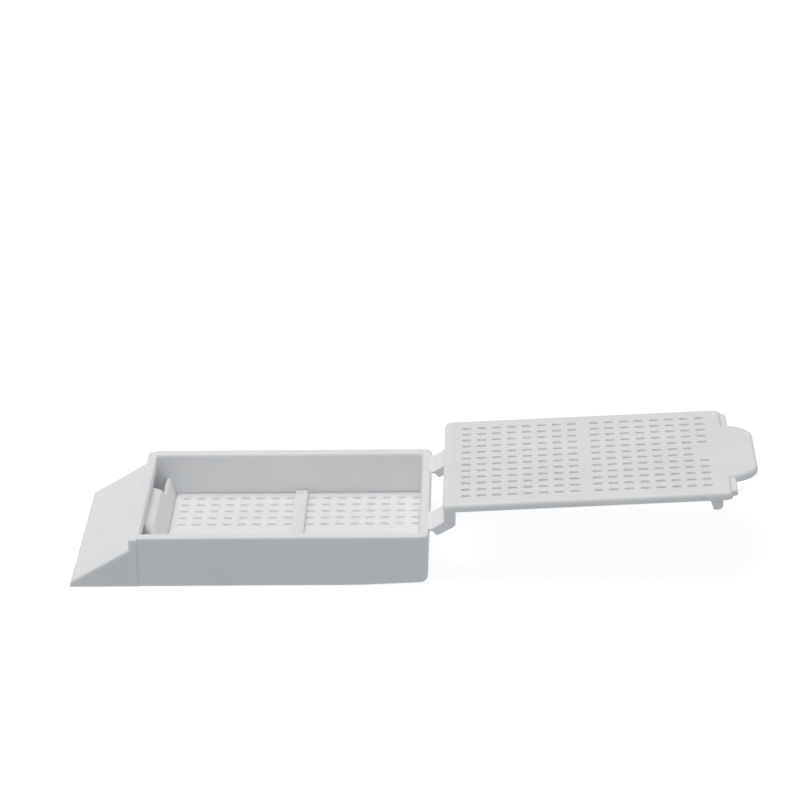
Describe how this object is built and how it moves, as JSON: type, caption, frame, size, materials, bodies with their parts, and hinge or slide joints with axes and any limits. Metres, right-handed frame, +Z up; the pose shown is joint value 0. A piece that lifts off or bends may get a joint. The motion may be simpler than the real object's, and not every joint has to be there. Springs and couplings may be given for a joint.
{
  "type": "tissue processing cassette",
  "caption": "Shallow perforated plastic tray with a slanted label end and a perforated fold-over lid with a finger tab, shown open.",
  "frame": {"origin": "centre of the tray's underside, midway between the label tip and the hinge end", "axes": "+X towards the hinge end and the open lid, +Y across to the far side, +Z up out of the tray"},
  "size_m": [0.0788, 0.0284, 0.011],
  "materials": {
    "tray_acetal": "moulded acetal, fine matt, white",
    "floor_acetal": "moulded acetal, white, thin and slightly translucent",
    "label_panel_matte": "moulded acetal, spark-textured writing surface, white",
    "strap_acetal": "moulded acetal, thin and slightly translucent, white",
    "lid_acetal": "moulded acetal, fine matt, white"
  },
  "bodies": {
    "tray": {"floor_grid": "floor_acetal", "floor_rib": "floor_acetal", "near_wall": "tray_acetal", "far_wall": "tray_acetal", "hinge_wall": "tray_acetal", "front_lip": "tray_acetal", "bulkhead": "tray_acetal", "catch_wall": "tray_acetal", "label_panel": "label_panel_matte", "near_cheek": "tray_acetal", "far_cheek": "tray_acetal"},
    "straps": {"near_strap": "strap_acetal", "far_strap": "strap_acetal", "near_rim_film": "strap_acetal", "far_rim_film": "strap_acetal", "near_post_film": "strap_acetal", "far_post_film": "strap_acetal"},
    "lid": {"lid_grid": "lid_acetal", "finger_tab": "lid_acetal", "near_shoulder": "lid_acetal", "far_shoulder": "lid_acetal", "near_latch_leg": "lid_acetal", "far_latch_leg": "lid_acetal", "near_post": "lid_acetal", "far_post": "lid_acetal"}
  },
  "joints": [
    {"name": "rim_fold", "type": "hinge", "parent": "tray", "child": "straps", "pos_m": [0.0207, 0, 0.00583], "axis": [0, -1, 0], "range_deg": [-2, 59.2], "stiffness_Nm_per_rad": 0.01},
    {"name": "lid_fold", "type": "hinge", "parent": "straps", "child": "lid", "pos_m": [0.02227, 0, 0.00754], "axis": [0, -1, 0], "range_deg": [-4, 118.4], "stiffness_Nm_per_rad": 0.01}
  ],
  "couplings": [
    {"joint": "lid_fold", "follows": "rim_fold", "ratio": 2}
  ]
}
